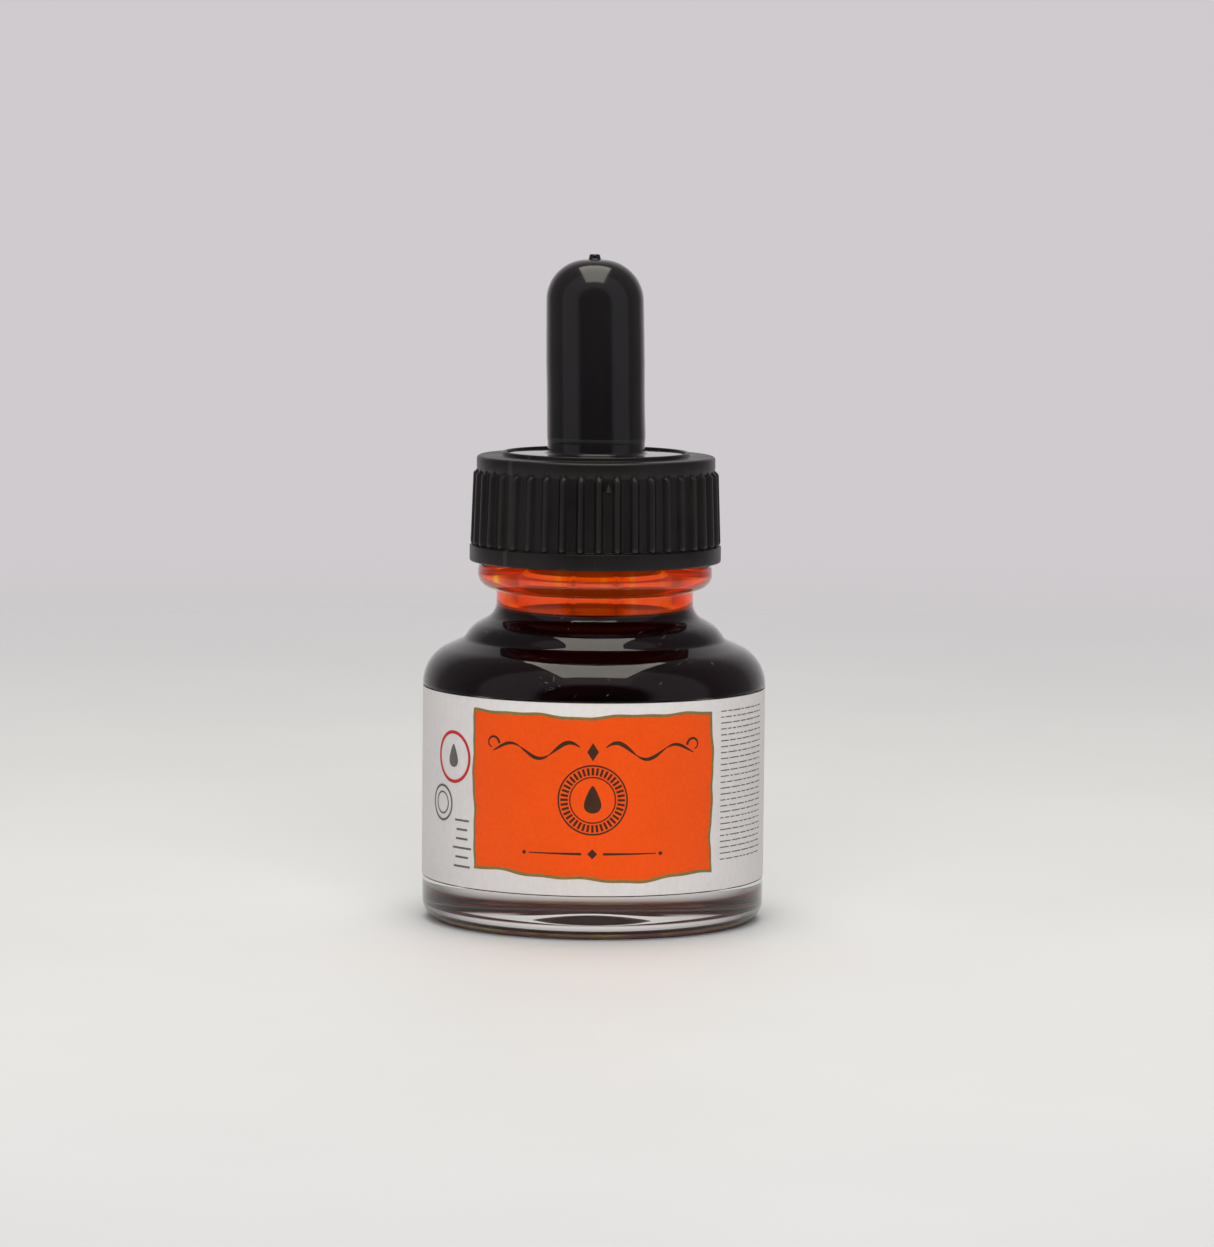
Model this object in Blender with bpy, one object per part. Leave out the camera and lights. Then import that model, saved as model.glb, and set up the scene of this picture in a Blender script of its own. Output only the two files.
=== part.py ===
"""Ink bottle with a screw-on dropper: glass bottle, ink, wrap label, ribbed cap, rubber teat, pipette.

Run with: blender --background --python part.py
Metres, +Z up. The origin is the middle of the bottle's contact ring, and the front faces -Y.
Lengths below are in millimetres and become metres when a mesh is made.
"""

import bpy
import bmesh
from math import cos, exp, pi, radians, sin, tan
from mathutils import Vector

MM = 0.001

# Bottle, outside
BODY_R = 21.05           # shoulder and body radius
PANEL_R = 20.88          # recessed panel that the label lies in
PANEL_Z = (5.5, 28.8)
PANEL_STEP = 0.1         # height of the sloping step at both ends of the panel
LAND_R = 20.98           # glass below the label panel
HEEL_R = 2.4             # rounding at the foot
FOOT_R = 16.05           # inner edge of the flat ring that the bottle stands on
PUSH_UP = 0.68           # height of the flat-topped hollow under the base
PUSH_UP_CURVE = 5.6      # power that sets how flat its top is
DIMPLE = (5.25, 0.75)    # radius and extra height of the hollow's middle
SHOULDER = (32.30, 5.0)  # height of the shoulder's corner, and its rounding
STEP_FOOT = (16.06, 34.53, 1.2)  # corners of the step above the shoulder: radius, height, rounding
STEP_TOP = (15.03, 36.06, 4.2)
NECK_R = 12.1
NECK_FOOT = (37.69, 2.2)
NECK_TOP_ROUND = 0.3
BEAD_R = 14.4
BEAD_Z = (40.7, 44.7)
BEAD_ROUND = 1.95

# Bottle, screw finish and inside
ROOT_R = 12.6            # glass between the threads
RIM_Z = 53.9
RIM_ROUND = 0.5
BORE_R = 9.5
BORE_FOOT = (37.1, 1.8)  # height of the bore's lower end, and its rounding
INNER_STEP = ((12.8, 35.4, 2.8), (13.8, 33.0, 1.2))
INNER_SHOULDER = (31.0, 4.2)
INNER_R = 18.95
FLOOR_Z = (7.4, 7.7)     # height of the floor at its edge and at its middle
FLOOR_ROUND = 6.3
PITCH = 25.4 / 6         # six threads to the inch
THREAD_TURNS = 1.25
THREAD_END = 0.25        # share of its height that a thread keeps at its ends
THREAD_TOP_Z = 52.0      # where the glass thread starts
THREAD_CREST_R = 13.6
THREAD_WIDTHS = (2.5, 1.1)  # at the thread's root and at its crest
THREAD_SUNK = 0.5        # a thread's root lies this far inside its wall

# Ink and label
SKIN = 0.05              # gap between the ink and the glass around it
INK_Z = 38.1             # level of the ink
WELL_R = 4.0             # space in the ink that the pipette dips into
WELL_Z = 9.3
LABEL_R = (20.95, 21.07)
LABEL_Z = (5.65, 28.72)

# Cap
RIBS = 42
RIB_TURN = 1.7           # angle of the nearest rib from the front, in degrees
CAP_Z = 44.1             # lower edge
CAP_TOP_Z = 57.0
BAND_R = 15.42           # smooth band round the foot of the cap
BAND_Z = 46.0
RIB_Z = (46.3, 55.1)
RIB_FADE = 0.3           # the ribs slope down to the wall within this height of their ends
RIB_R = (15.36, 15.05)   # rib crests, at the band and at the top
FLUTE_R = (14.90, 14.64)  # between the ribs, at the band and at the top
CAP_R = 14.62            # smooth wall above the ribs
HOLE_R = 11.0            # hole in the top, which the teat comes out of
HOLE_RIM = (11.45, 57.5)
CAP_INNER_R = 13.85
LIP_Z = 55.7             # underside of the cap's top
CAP_THREAD_R = 12.9      # crest of the cap's thread
CAP_THREAD_WIDTHS = (1.7, 0.8)
CAP_THREAD_SUNK = 0.35
THREAD_GAP = 1.8         # the cap's thread lies this far under the glass thread

# Teat
FLANGE_R = 13.0
FLANGE_Z = (54.1, 55.5)
DISC_R = 10.8
DISC_Z = 57.05
TEAT_R = 5.97
RIDGE = (6.10, 59.3)     # faint ring round the bulb's foot: radius and height
RIDGE_SPAN = (0.3, 0.7)  # how far the ring reaches down and up
BARREL_R = 6.03
WAIST = (5.99, 64.0)
BELLY_Z = 68.5
CROWN_R = 5.92
CROWN_Z = 81.0
CROWN_ROUND = 5.1
NUB = (0.65, 81.65)
SOCKET_R = 3.6           # grips the pipette
SOCKET_Z = 61.3
HOLLOW_R = 4.5
HOLLOW_Z = (61.9, 79.4)
HOLLOW_ROUND = 3.8

# Pipette
PIPE_R = (3.5, 2.5)
PIPE_TOP_Z = 60.9
TAPER_Z = (16.5, 24.5)   # the tube narrows between these heights
TIP_R = (1.4, 0.8)
TIP_Z = 10.5

# Facets round the axis
BOTTLE_SIDES = 40
CAP_SIDES = 2 * RIBS
THREAD_SIDES = 32
TEAT_SIDES = 28
PIPE_SIDES = 20
BASE_RINGS = 9
ARC_STEP = radians(30)   # about the turn between two points of a rounding


def clear_scene():
    for item in list(bpy.data.objects):
        bpy.data.objects.remove(item, do_unlink=True)


def rounded(corners):
    """Outline through (r, z, rounding) corners, with each rounding drawn as an arc."""
    outline = []
    for index, corner in enumerate(corners):
        here = Vector(corner[:2])
        radius = corner[2] if len(corner) > 2 else 0
        if not radius:
            outline.append(tuple(here))
            continue
        back = (Vector(corners[index - 1][:2]) - here).normalized()
        ahead = (Vector(corners[(index + 1) % len(corners)][:2]) - here).normalized()
        turn = pi - back.angle(ahead)
        reach = radius * tan(turn / 2)
        centre = here + (back + ahead).normalized() * radius / cos(turn / 2)
        start = here + back * reach - centre
        end = here + ahead * reach - centre
        steps = max(2, round(turn / ARC_STEP))
        for step in range(steps + 1):
            share = step / steps
            bow = start * sin((1 - share) * turn) + end * sin(share * turn)
            outline.append(tuple(centre + bow / sin(turn)))
    return outline


def turned(outline, sides, phase=0.0, radius_at=None):
    """Closed body made by turning an outline about the Z axis. Points with r = 0 lie on the axis."""
    mesh = bmesh.new()
    rings = []
    for radius, height in outline:
        if radius == 0:
            rings.append([mesh.verts.new((0, 0, height * MM))])
            continue
        ring = []
        for side in range(sides):
            angle = phase + 2 * pi * side / sides
            reach = radius_at(radius, height, side) if radius_at else radius
            ring.append(mesh.verts.new((reach * cos(angle) * MM, reach * sin(angle) * MM, height * MM)))
        rings.append(ring)
    for lower, upper in zip(rings, rings[1:] + rings[:1]):
        if len(lower) == 1 and len(upper) == 1:
            continue
        for side in range(sides):
            after = (side + 1) % sides
            corners = [lower[side % len(lower)], lower[after % len(lower)]]
            corners += [upper[after % len(upper)], upper[side % len(upper)]]
            mesh.faces.new(list(dict.fromkeys(corners)))
    bmesh.ops.recalc_face_normals(mesh, faces=mesh.faces)
    return mesh


def thread(root_r, crest_r, top_z, root_width, crest_width):
    """Closed right-handed helical ridge that runs down from top_z and thins at both ends."""
    mesh = bmesh.new()
    steps = round(THREAD_TURNS * THREAD_SIDES)
    fade_steps = steps / 8
    sections = []
    for step in range(steps + 1):
        angle = -2 * pi * step / THREAD_SIDES - pi / 2
        middle = top_z - PITCH * step / THREAD_SIDES
        fade = min(1, step / fade_steps, (steps - step) / fade_steps)
        crest = root_r + (crest_r - root_r) * max(fade, THREAD_END)
        ring = []
        for radius, offset in ((root_r, -root_width), (crest, -crest_width),
                               (crest, crest_width), (root_r, root_width)):
            height = middle + offset / 2
            ring.append(mesh.verts.new((radius * cos(angle) * MM, radius * sin(angle) * MM, height * MM)))
        sections.append(ring)
    for near, far in zip(sections, sections[1:]):
        for side in range(4):
            after = (side + 1) % 4
            mesh.faces.new((near[side], near[after], far[after], far[side]))
    mesh.faces.new(sections[0])
    mesh.faces.new(list(reversed(sections[-1])))
    bmesh.ops.recalc_face_normals(mesh, faces=mesh.faces)
    return mesh


def material(name, colour, roughness, metallic=0.0, transmission=0.0):
    made = bpy.data.materials.new(name)
    made.use_nodes = True
    shader = made.node_tree.nodes["Principled BSDF"]
    shader.inputs["Base Color"].default_value = (*colour, 1)
    shader.inputs["Roughness"].default_value = roughness
    shader.inputs["Metallic"].default_value = metallic
    shader.inputs["Transmission Weight"].default_value = transmission
    return made


def piece(name, mesh, finish):
    """New object from a bmesh, shaded smooth between its sharp edges."""
    data = bpy.data.meshes.new(name)
    mesh.to_mesh(data)
    mesh.free()
    data.shade_smooth()
    data.set_sharp_from_angle(angle=radians(35))
    made = bpy.data.objects.new(name, data)
    bpy.context.scene.collection.objects.link(made)
    if finish:
        data.materials.append(finish)
    return made


def join_thread(body, ridge):
    """Boolean union of a turned body and its helical ridge."""
    ridge.hide_render = True
    ridge.display_type = "WIRE"
    union = body.modifiers.new("thread", "BOOLEAN")
    union.operation = "UNION"
    union.solver = "EXACT"
    union.object = ridge


def underside():
    """Hollow under the base, from its middle out to the foot."""
    outline = []
    for ring in range(BASE_RINGS):
        radius = FOOT_R * ring / BASE_RINGS
        height = PUSH_UP * (1 - (radius / FOOT_R) ** PUSH_UP_CURVE)
        outline.append((radius, height + DIMPLE[1] * exp(-(radius / DIMPLE[0]) ** 2)))
    return outline


def cavity():
    """Corners of the glass's inside, from the foot of the bore down to the middle of the floor."""
    return [
        (BORE_R, *BORE_FOOT),
        *INNER_STEP,
        (INNER_R, *INNER_SHOULDER),
        (INNER_R, FLOOR_Z[0], FLOOR_ROUND),
        (0, FLOOR_Z[1]),
    ]


def make_bottle():
    outline = underside() + rounded([
        (FOOT_R, 0),
        (LAND_R, 0, HEEL_R),
        (LAND_R, PANEL_Z[0] - PANEL_STEP),
        (PANEL_R, PANEL_Z[0]),
        (PANEL_R, PANEL_Z[1]),
        (BODY_R, PANEL_Z[1] + PANEL_STEP),
        (BODY_R, *SHOULDER),
        STEP_FOOT,
        STEP_TOP,
        (NECK_R, *NECK_FOOT),
        (NECK_R, BEAD_Z[0], NECK_TOP_ROUND),
        (BEAD_R, BEAD_Z[0], BEAD_ROUND),
        (BEAD_R, BEAD_Z[1], BEAD_ROUND),
        (ROOT_R, BEAD_Z[1]),
        (ROOT_R, RIM_Z, RIM_ROUND),
        (BORE_R, RIM_Z, RIM_ROUND),
    ] + cavity())
    glass = material("glass", (0.93, 0.95, 0.94), 0.03, transmission=1.0)
    bottle = piece("bottle", turned(outline, BOTTLE_SIDES), glass)
    ridge = thread(ROOT_R - THREAD_SUNK, THREAD_CREST_R, THREAD_TOP_Z, *THREAD_WIDTHS)
    join_thread(bottle, piece("bottle_thread_guide", ridge, None))


def make_ink():
    """The ink fills the cavity up to its level, less a thin gap and the well round the pipette."""
    wall = []
    for radius, height in rounded([(BORE_R, RIM_Z)] + cavity())[1:]:
        lift = SKIN if height < INK_Z / 2 else -SKIN
        if height < INK_Z:
            wall.append((max(radius - SKIN, 0), height + lift))
    outline = [(WELL_R, WELL_Z), (WELL_R, INK_Z), (BORE_R, INK_Z)]
    ink = material("ink", (0.02, 0.012, 0.014), 0.1)
    piece("ink", turned(outline + wall + [(0, WELL_Z)], BOTTLE_SIDES), ink)


def make_label():
    outline = [
        (LABEL_R[1], LABEL_Z[0]),
        (LABEL_R[1], LABEL_Z[1]),
        (LABEL_R[0], LABEL_Z[1]),
        (LABEL_R[0], LABEL_Z[0]),
    ]
    paper = material("paper", (0.72, 0.70, 0.68), 0.55)
    piece("label", turned(outline, BOTTLE_SIDES), paper)


def rib_radius(radius, height, side):
    """Every second point of the cap's side is a flute between two ribs."""
    on_ribs = RIB_Z[0] < height < RIB_Z[1] and radius > CAP_R
    if not on_ribs or side % 2 == 0:
        return radius
    share = (height - RIB_Z[0]) / (RIB_Z[1] - RIB_Z[0])
    return FLUTE_R[0] + (FLUTE_R[1] - FLUTE_R[0]) * share


def make_cap():
    outline = rounded([
        (CAP_INNER_R, CAP_Z),
        (BAND_R, CAP_Z, 0.3),
        (BAND_R, BAND_Z),
        (RIB_R[0], RIB_Z[0] + RIB_FADE),
        (RIB_R[1], RIB_Z[1] - RIB_FADE),
        (CAP_R, RIB_Z[1] + RIB_FADE),
        (CAP_R, CAP_TOP_Z, 0.4),
        (HOLE_RIM[0], CAP_TOP_Z),
        (HOLE_RIM[0], HOLE_RIM[1], 0.15),
        (HOLE_R, HOLE_RIM[1], 0.15),
        (HOLE_R, LIP_Z),
        (CAP_INNER_R, LIP_Z, 0.4),
    ])
    plastic = material("cap_plastic", (0.018, 0.017, 0.016), 0.45)
    phase = radians(RIB_TURN - 90)
    cap = piece("cap", turned(outline, CAP_SIDES, phase, rib_radius), plastic)
    top_z = THREAD_TOP_Z - THREAD_GAP
    ridge = thread(CAP_INNER_R + CAP_THREAD_SUNK, CAP_THREAD_R, top_z, *CAP_THREAD_WIDTHS)
    join_thread(cap, piece("cap_thread_guide", ridge, None))


def make_teat():
    """One rubber moulding: flange under the cap, glossy disc, bulb with a nub, and its hollow."""
    outline = rounded([
        (SOCKET_R, FLANGE_Z[0]),
        (FLANGE_R, FLANGE_Z[0], 0.2),
        (FLANGE_R, FLANGE_Z[1], 0.2),
        (DISC_R, FLANGE_Z[1]),
        (DISC_R, DISC_Z, 0.3),
        (TEAT_R, DISC_Z, 0.5),
        (TEAT_R, RIDGE[1] - RIDGE_SPAN[0]),
        RIDGE,
        (BARREL_R, RIDGE[1] + RIDGE_SPAN[1]),
        WAIST,
        (BARREL_R, BELLY_Z),
        (CROWN_R, CROWN_Z, CROWN_ROUND),
        (NUB[0], CROWN_Z),
        NUB,
        (0, NUB[1]),
        (0, HOLLOW_Z[1]),
        (HOLLOW_R, HOLLOW_Z[1], HOLLOW_ROUND),
        (HOLLOW_R, HOLLOW_Z[0]),
        (SOCKET_R, SOCKET_Z),
    ])
    rubber = material("rubber", (0.012, 0.011, 0.011), 0.22)
    piece("teat", turned(outline, TEAT_SIDES), rubber)


def make_pipette():
    outline = [
        (PIPE_R[1], PIPE_TOP_Z),
        (PIPE_R[1], TAPER_Z[1]),
        (TIP_R[1], TAPER_Z[0]),
        (TIP_R[1], TIP_Z),
        (TIP_R[0], TIP_Z),
        (TIP_R[0], TAPER_Z[0]),
        (PIPE_R[0], TAPER_Z[1]),
        (PIPE_R[0], PIPE_TOP_Z),
    ]
    glass = material("pipette_glass", (0.93, 0.95, 0.94), 0.03, transmission=1.0)
    piece("pipette", turned(outline, PIPE_SIDES), glass)


clear_scene()
make_bottle()
make_ink()
make_label()
make_cap()
make_teat()
make_pipette()
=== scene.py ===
"""Looks of the ink bottle: clear glass, dark ink, printed paper label, ribbed cap, rubber teat, pipette.

The part's lengths are in millimetres, and those of the lights, the floor and the camera in metres. All
are in the part's own frame: +Z up, front towards -Y.
"""
import bpy
import bmesh
import random
from math import ceil, cos, exp, hypot, pi, radians, sin, sqrt, tan
from mathutils import Matrix, Vector


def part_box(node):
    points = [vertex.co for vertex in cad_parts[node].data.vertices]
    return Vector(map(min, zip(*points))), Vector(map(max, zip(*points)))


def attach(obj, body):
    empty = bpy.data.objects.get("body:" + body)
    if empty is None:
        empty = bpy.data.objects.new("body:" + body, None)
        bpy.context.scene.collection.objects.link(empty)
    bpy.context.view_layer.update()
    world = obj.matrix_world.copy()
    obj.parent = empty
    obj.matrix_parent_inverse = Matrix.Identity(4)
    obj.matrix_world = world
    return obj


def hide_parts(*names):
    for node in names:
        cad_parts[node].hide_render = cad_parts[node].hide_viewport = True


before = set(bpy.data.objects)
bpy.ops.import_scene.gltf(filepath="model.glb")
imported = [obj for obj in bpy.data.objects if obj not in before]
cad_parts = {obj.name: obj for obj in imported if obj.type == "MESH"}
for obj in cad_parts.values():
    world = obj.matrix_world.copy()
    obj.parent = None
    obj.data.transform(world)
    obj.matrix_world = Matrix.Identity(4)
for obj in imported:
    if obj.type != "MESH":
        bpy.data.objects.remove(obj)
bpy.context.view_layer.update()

MM = 0.001
TAU = 2 * pi


def cad(node):
    """Radius, lowest and highest height of a CAD node, in millimetres."""
    low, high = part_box(node)
    return high[0] / MM, low[2] / MM, high[2] / MM


BODY_R, _, RIM_Z = cad("bottle")
_, CAP_Z, CAP_TOP = cad("cap")
LABEL_R, LABEL_Z, LABEL_TOP = cad("label")
FLANGE_R, FLANGE_Z, NUB_Z = cad("teat")
PIPE_R, TIP_Z, PIPE_TOP = cad("pipette")
MENISCUS = 0.6
LEVEL_Z = cad("ink")[2] - MENISCUS

# Glass bottle: hollow under the base with a dimple in its middle, wall with the label's sunk seat, neck
# with a bead under the thread, and cavity
FOOT_R = 16.05
PUSH_UP, PUSH_UP_CURVE = 0.68, 5.6
DIMPLE_R, DIMPLE_TALL = 5.25, 0.75
HEEL_R = 2.4
LAND_R = 20.98
SEAT_R = 20.88
SEAT_Z = (5.5, 28.8)
SEAT_STEP = 0.1
NECK_R = 12.1
BEAD_R, BEAD_ROUND = 14.4, 1.95
BEAD_Z = (40.7, 44.7)
ROOT_R = 12.6
BORE_R = 9.5
RIM_ROUND = 0.5
INNER_R = 18.95
INNER_MIDDLE_Z = 20

# Screw thread on the neck and in the cap. It starts at top_z and runs down. Each end fades out over
# THREAD_RUN_OUT radians, and THREAD_CREST is the share of its half width that stands at full height
PITCH = 25.4 / 6
THREAD_TURNS = 1.25
THREAD_RUN_OUT = 0.6
THREAD_CREST = 0.45
NECK_THREAD = dict(top_z=52.0, half_width=1.25)
NECK_THREAD_RISE = 0.95
CAP_THREAD = dict(top_z=50.2, half_width=0.95)
CAP_THREAD_RISE = 0.9

# Cap: smooth band at its foot, and ribs on the side above it
CAP_BORE_R = 13.85
BAND_R, BAND_TOP = 15.42, 46.0
SIDE_R = (14.72, 14.5)
SIDE_TOP = 55.5
RIBS = 42
RIB_SIDES = 14
RIB_TURN = radians(1.7 - 90)
RIB_R = 15
RIB_Z = (46.3, 55.1)
RIB_CREST = (15.36, 15.05)
RIB_HALF = 0.95
RIB_FLANK = (0.16, 0.66)
RIB_END = (54.75, 55.4)

# Dropper. Its bulb leans to one side by LEAN millimetres for each millimetre above LEAN_Z
DISC_Z = 57.28
BULB_R = 6.0
SOCKET_R = 3.6
LEAN, LEAN_Z = 0.0165, 58
TUBE_BORE_R = 2.5
TAPER_Z = (16.5, 24.5)
TAPER_ROUND = 6

scene = bpy.context.scene


# ---------------------------------------------------------------- shapes

def rounded(corners, step=radians(6)):
    """Outline through (r, z, rounding) corners, with each rounding drawn as an arc."""
    outline = []
    for index, corner in enumerate(corners):
        here = Vector(corner[:2])
        radius = corner[2] if len(corner) > 2 else 0
        if not radius:
            outline.append(tuple(here))
            continue
        back = (Vector(corners[index - 1][:2]) - here).normalized()
        ahead = (Vector(corners[(index + 1) % len(corners)][:2]) - here).normalized()
        turn = pi - back.angle(ahead)
        reach = radius * tan(turn / 2)
        centre = here + (back + ahead).normalized() * radius / cos(turn / 2)
        start = here + back * reach - centre
        end = here + ahead * reach - centre
        steps = max(2, ceil(turn / step))
        for count in range(steps + 1):
            share = count / steps
            bow = start * sin((1 - share) * turn) + end * sin(share * turn)
            outline.append(tuple(centre + bow / sin(turn)))
    return outline


def split(outline, low, high, step):
    """The outline with its points between two heights set no further apart than step."""
    dense = []
    for here, after in zip(outline, outline[1:] + outline[:1]):
        dense.append(here)
        middle = (here[1] + after[1]) / 2
        parts = ceil(hypot(after[0] - here[0], after[1] - here[1]) / step)
        if low < middle < high and here[0] and after[0]:
            for part in range(1, parts):
                share = part / parts
                radius = here[0] + (after[0] - here[0]) * share
                dense.append((radius, here[1] + (after[1] - here[1]) * share))
    return dense


def piece(name, mesh, finish, body, smooth=35):
    """New object from a bmesh, with its material, riding on a body."""
    data = bpy.data.meshes.new(name)
    mesh.to_mesh(data)
    mesh.free()
    data.shade_smooth()
    data.set_sharp_from_angle(angle=radians(smooth))
    data.materials.append(finish)
    made = bpy.data.objects.new(name, data)
    scene.collection.objects.link(made)
    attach(made, body)
    return made


def turned(outline, sides, shift=None, closed=True):
    """Outline turned about the Z axis. shift(r, z, angle) gives how far a point moves outwards."""
    mesh = bmesh.new()
    rings = []
    for radius, height in outline:
        if radius == 0:
            rings.append([mesh.verts.new((0, 0, height * MM))])
            continue
        ring = []
        for side in range(sides):
            angle = TAU * side / sides
            reach = radius + (shift(radius, height, angle) if shift else 0)
            ring.append(mesh.verts.new((reach * cos(angle) * MM, reach * sin(angle) * MM, height * MM)))
        rings.append(ring)
    pairs = list(zip(rings, rings[1:] + rings[:1])) if closed else list(zip(rings, rings[1:]))
    for lower, upper in pairs:
        if len(lower) == 1 and len(upper) == 1:
            continue
        for side in range(sides):
            after = (side + 1) % sides
            corners = [lower[side % len(lower)], lower[after % len(lower)]]
            corners += [upper[after % len(upper)], upper[side % len(upper)]]
            mesh.faces.new(list(dict.fromkeys(corners)))
    bmesh.ops.recalc_face_normals(mesh, faces=mesh.faces)
    return mesh


def ease(value, low, high):
    """0 below low, 1 above high, and a smooth step between."""
    share = min(1, max(0, (value - low) / (high - low)))
    return share * share * (3 - 2 * share)


def thread_height(height, angle, top_z, half_width):
    """0 to 1: how much of the thread's ridge stands at this place on the wall."""
    lead = -(angle + pi / 2) % TAU
    best = 0
    for lap in range(ceil(THREAD_TURNS) + 1):
        along = lead + TAU * lap
        left = TAU * THREAD_TURNS - along
        if left < 0:
            continue
        middle = top_z - PITCH * along / TAU
        ends = ease(along, 0, THREAD_RUN_OUT) * ease(left, 0, THREAD_RUN_OUT)
        ridge = 1 - ease(abs(height - middle), half_width * THREAD_CREST, half_width)
        best = max(best, ends * ridge)
    return best


# ---------------------------------------------------------------- materials

def new_material(name, colour, roughness, **inputs):
    """Principled material. Returns it with its node tree and shader."""
    made = bpy.data.materials.new(name)
    made.use_nodes = True
    tree = made.node_tree
    shader = tree.nodes["Principled BSDF"]
    shader.inputs["Base Color"].default_value = (*colour, 1)
    shader.inputs["Roughness"].default_value = roughness
    for key, value in inputs.items():
        shader.inputs[key.replace("_", " ")].default_value = value
    return made, tree, shader


def noise(tree, scale, detail=4, roughness=0.55, stretch=(1, 1, 1)):
    """Noise in object space. scale is in repeats per millimetre."""
    place = tree.nodes.new("ShaderNodeTexCoord")
    mapping = tree.nodes.new("ShaderNodeMapping")
    mapping.inputs["Scale"].default_value = [scale / MM * part for part in stretch]
    made = tree.nodes.new("ShaderNodeTexNoise")
    made.inputs["Scale"].default_value = 1
    made.inputs["Detail"].default_value = detail
    made.inputs["Roughness"].default_value = roughness
    tree.links.new(place.outputs["Object"], mapping.inputs["Vector"])
    tree.links.new(mapping.outputs["Vector"], made.inputs["Vector"])
    return made.outputs["Fac"]


def spread(tree, source, low, high, start=0.3, end=0.7):
    """Maps a value's range from start..end onto low..high."""
    node = tree.nodes.new("ShaderNodeMapRange")
    for key, value in (("From Min", start), ("From Max", end), ("To Min", low), ("To Max", high)):
        node.inputs[key].default_value = value
    tree.links.new(source, node.inputs["Value"])
    return node.outputs["Result"]


def ramp(tree, source, *stops):
    """Colour ramp through (place, colour) stops."""
    node = tree.nodes.new("ShaderNodeValToRGB")
    marks = node.color_ramp.elements
    while len(marks) < len(stops):
        marks.new(0.5)
    for mark, (place, colour) in zip(marks, stops):
        mark.position = place
        mark.color = (*colour, 1)
    tree.links.new(source, node.inputs["Fac"])
    return node.outputs["Color"]


def mix(tree, share, first, second, blend="MIX"):
    """Colour mix of two sockets or colours."""
    node = tree.nodes.new("ShaderNodeMix")
    node.data_type = "RGBA"
    node.blend_type = blend
    for socket, value in ((node.inputs[0], share), (node.inputs[6], first), (node.inputs[7], second)):
        if isinstance(value, bpy.types.NodeSocket):
            tree.links.new(value, socket)
        else:
            socket.default_value = value if isinstance(value, float) else (*value, 1)
    return node.outputs[2]


def bump(tree, shader, source, height_mm, strength):
    """Adds a bump on top of those that the shader already has."""
    node = tree.nodes.new("ShaderNodeBump")
    node.inputs["Distance"].default_value = height_mm * MM
    node.inputs["Strength"].default_value = strength
    tree.links.new(source, node.inputs["Height"])
    last = shader.inputs["Normal"]
    if last.is_linked:
        tree.links.new(last.links[0].from_socket, node.inputs["Normal"])
    tree.links.new(node.outputs["Normal"], last)


def height_of(tree):
    """Height above the ground, in metres, as a value."""
    place = tree.nodes.new("ShaderNodeTexCoord")
    parts = tree.nodes.new("ShaderNodeSeparateXYZ")
    tree.links.new(place.outputs["Object"], parts.inputs["Vector"])
    return parts.outputs["Z"]


def radius_of(tree):
    """Distance from the Z axis, in metres, as a value."""
    place = tree.nodes.new("ShaderNodeTexCoord")
    flat = tree.nodes.new("ShaderNodeVectorMath")
    flat.operation = "MULTIPLY"
    flat.inputs[1].default_value = (1, 1, 0)
    tree.links.new(place.outputs["Object"], flat.inputs[0])
    reach = tree.nodes.new("ShaderNodeVectorMath")
    reach.operation = "LENGTH"
    tree.links.new(flat.outputs["Vector"], reach.inputs[0])
    return reach.outputs["Value"]


def product(tree, first, second):
    """Product of two values."""
    node = tree.nodes.new("ShaderNodeMath")
    node.operation = "MULTIPLY"
    tree.links.new(first, node.inputs[0])
    tree.links.new(second, node.inputs[1])
    return node.outputs[0]


def glass_material(name, tint):
    """Clear glass with smudges, greyer where it is thick and mottled brown round the heel."""
    made, tree, shader = new_material(name, tint, 0.0, Transmission_Weight=1.0, IOR=1.52)
    base = spread(tree, height_of(tree), 1.0, 0.0, 6 * MM, 10 * MM)
    thick = mix(tree, base, tint, (0.90, 0.90, 0.85))
    outer = spread(tree, radius_of(tree), 0.0, 1.0, 18.0 * MM, 18.6 * MM)
    heel = product(tree, outer, spread(tree, height_of(tree), 1.0, 0.0, 0.9 * MM, 1.7 * MM))
    brown_mottle = ramp(tree, noise(tree, 0.2, 3), (0.4, (0.055, 0.003, 0.002)), (0.6, (0.10, 0.045, 0.003)))
    tree.links.new(mix(tree, heel, thick, brown_mottle), shader.inputs["Base Color"])
    smudges = noise(tree, 0.09, 6, 0.6)
    tree.links.new(spread(tree, smudges, 0.0, 0.03, 0.55, 0.85), shader.inputs["Roughness"])
    bump(tree, shader, noise(tree, 0.06, 1, 0.4, (1, 1, 0.5)), 0.03, 0.4)
    return made


def marks_material():
    """Pale scuffed glass and dried ink."""
    made, tree, shader = new_material("glass_marks", (0.20, 0.16, 0.15), 0.35, Specular_IOR_Level=0.6)
    patch = noise(tree, 0.6, 2)
    tree.links.new(ramp(tree, patch, (0.4, (0.03, 0.02, 0.018)), (0.6, (0.26, 0.23, 0.22))),
                   shader.inputs["Base Color"])
    tree.links.new(spread(tree, patch, 0.25, 0.5), shader.inputs["Roughness"])
    return made


# Refractive index of the ink, about 1.345, over the glass's 1.52
INK_IN_GLASS = 0.885


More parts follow.
